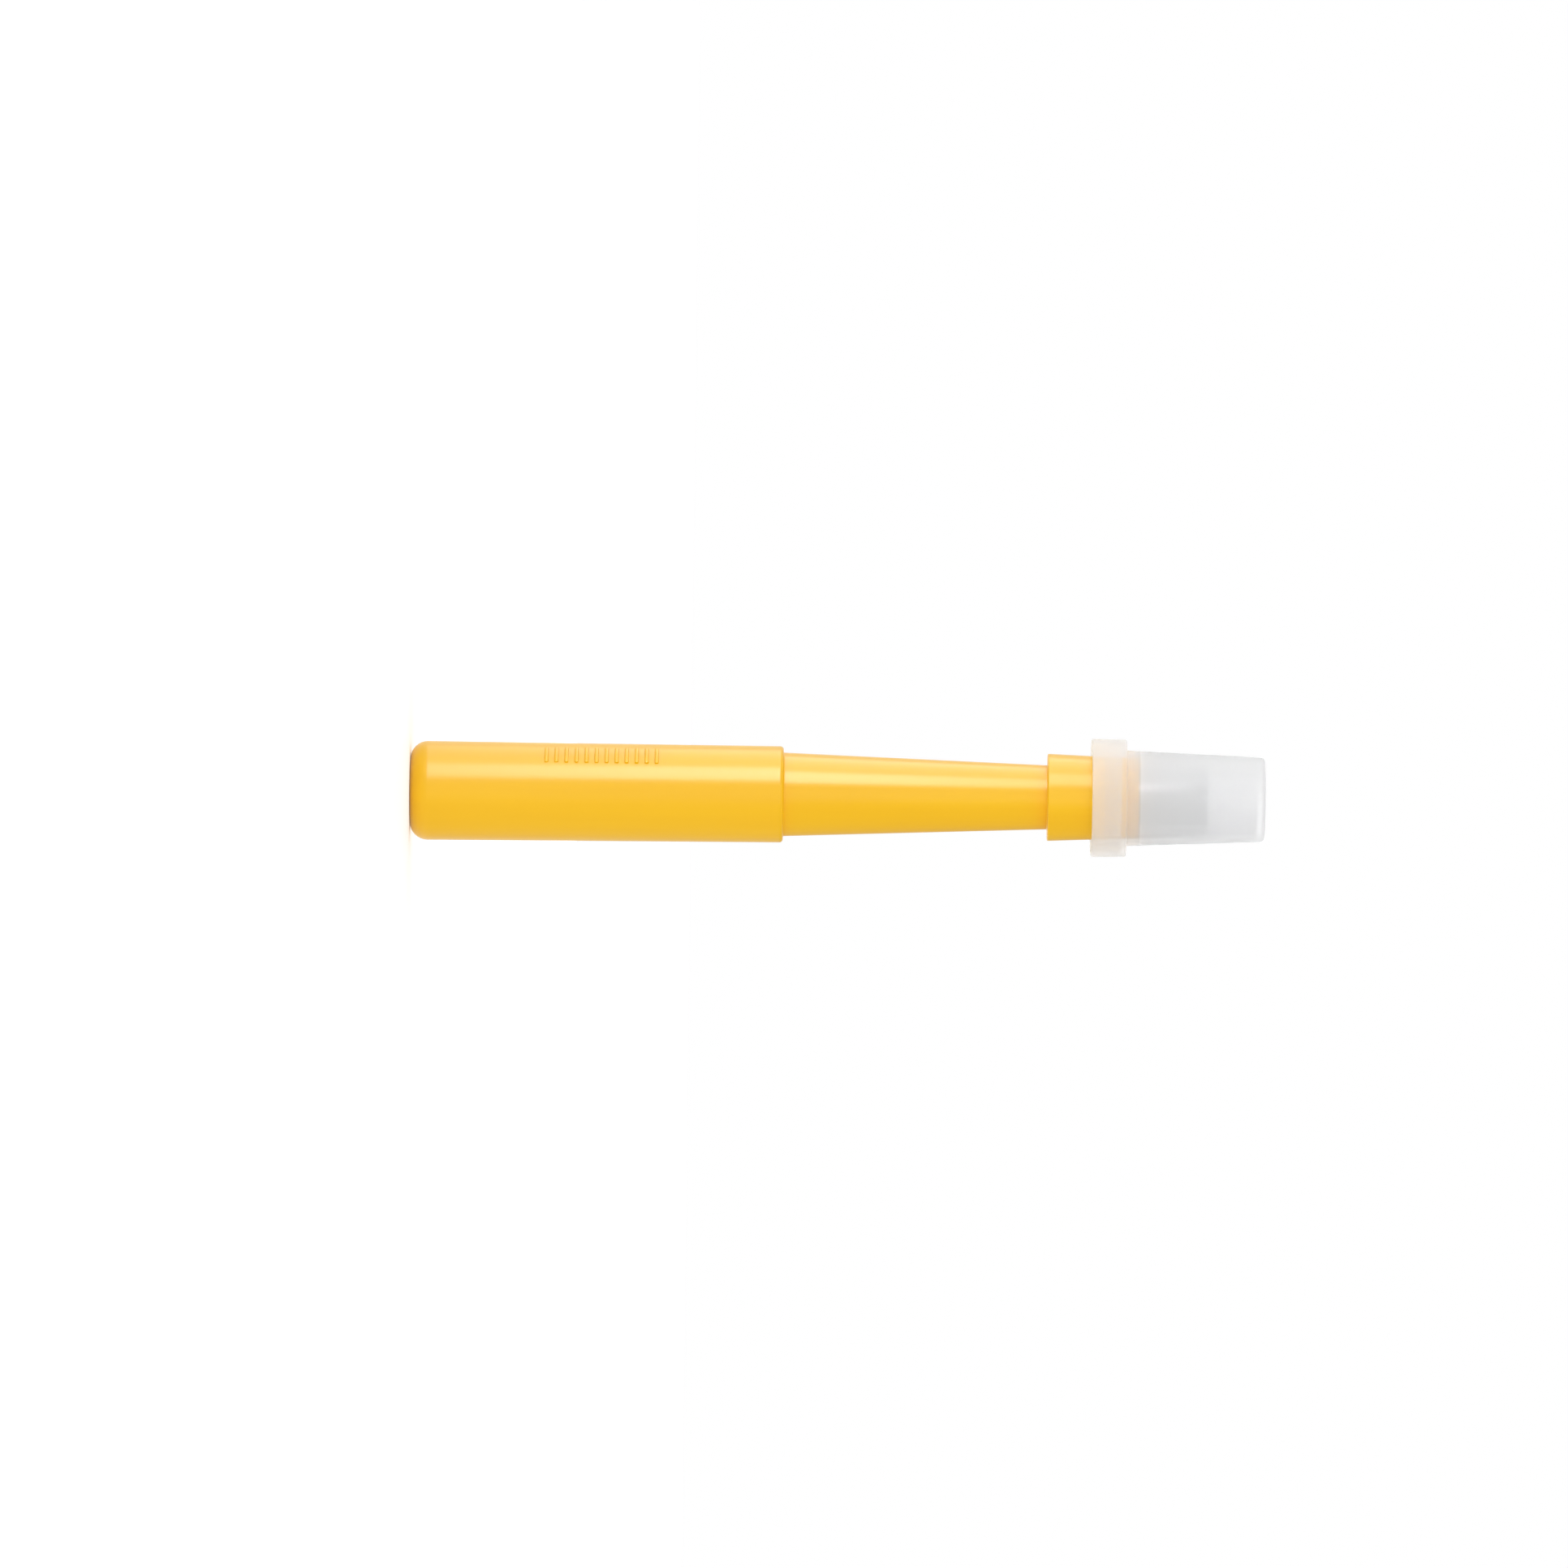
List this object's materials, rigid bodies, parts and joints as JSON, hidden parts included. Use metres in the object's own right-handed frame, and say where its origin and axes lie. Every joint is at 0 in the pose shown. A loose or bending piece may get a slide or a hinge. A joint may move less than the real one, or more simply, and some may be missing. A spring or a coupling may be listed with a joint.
{
  "type": "biopsy punch",
  "caption": "Round single-use skin biopsy punch: stepped, tapered yellow handle with a collar, thin steel cutting tube, and a translucent push-on cap with a wide skirt.",
  "frame": {"origin": "middle of the flat rear face of the handle, where the punch stands", "axes": "+Z along the punch's axis, from the handle's rear end towards the cutting edge and the closed end of the cap; X and Y are any two directions across the round body"},
  "size_m": [0.0122, 0.0122, 0.0877],
  "materials": {
    "handle_plastic": "satin moulded, opaque yellow",
    "tube_steel": "fine drawn and ground stainless steel",
    "cap_plastic": "smooth, milky, translucent natural polypropylene"
  },
  "bodies": {
    "punch": {"handle": "handle_plastic", "cutting_tube": "tube_steel"},
    "cap": {"tip_cap": "cap_plastic"}
  },
  "joints": [
    {"name": "cap_pull", "type": "slide", "parent": "punch", "child": "cap", "axis": [0, 0, 1], "range_m": [0, 0.02]}
  ]
}
